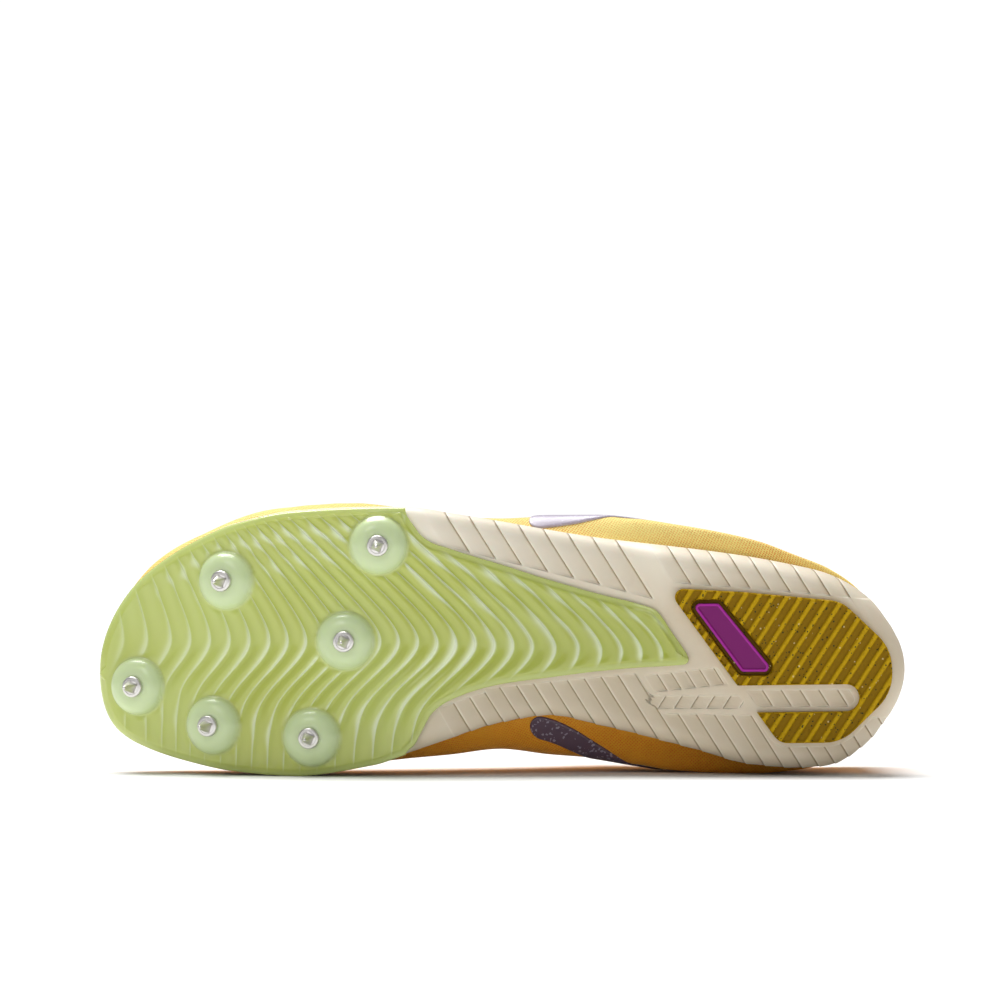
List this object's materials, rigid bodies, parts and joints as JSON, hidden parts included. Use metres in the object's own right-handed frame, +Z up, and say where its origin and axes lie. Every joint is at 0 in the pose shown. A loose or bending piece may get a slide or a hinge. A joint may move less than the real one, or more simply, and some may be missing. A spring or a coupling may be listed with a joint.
{
  "type": "track spike shoe",
  "caption": "Left track spike shoe lying on its side: hollow knit upper, foam midsole, wavy spike plate, ribbed heel tread, steel points",
  "frame": {"origin": "On the floor, under the middle of the shoe's box; the shoe lies on its medial side", "axes": "+X from the toe to the heel, +Y from the sole towards the collar, +Z up from the floor to the lateral side"},
  "size_m": [0.285, 0.118, 0.0957],
  "materials": {
    "knit": "matte",
    "padding": "matte",
    "sheet": "matte",
    "foam": "matte",
    "plate": "gloss",
    "tread": "satin",
    "inlay": "satin",
    "film": "satin",
    "steel": "satin",
    "lace": "matte"
  },
  "bodies": {
    "root": {"upper": "knit", "tongue": "padding", "insole": "sheet", "midsole": "foam", "spike_plate": "plate", "heel_rubber": "tread", "heel_inlay": "inlay", "side_bar_lateral": "film", "side_bar_medial": "film", "spike_1": "steel", "spike_2": "steel", "spike_3": "steel", "spike_4": "steel", "spike_5": "steel", "spike_6": "steel", "lace_bar_1": "lace", "lace_bar_2": "lace", "lace_bar_3": "lace", "lace_bar_4": "lace", "lace_bar_5": "lace", "lace_bar_6": "lace"}
  },
  "joints": []
}
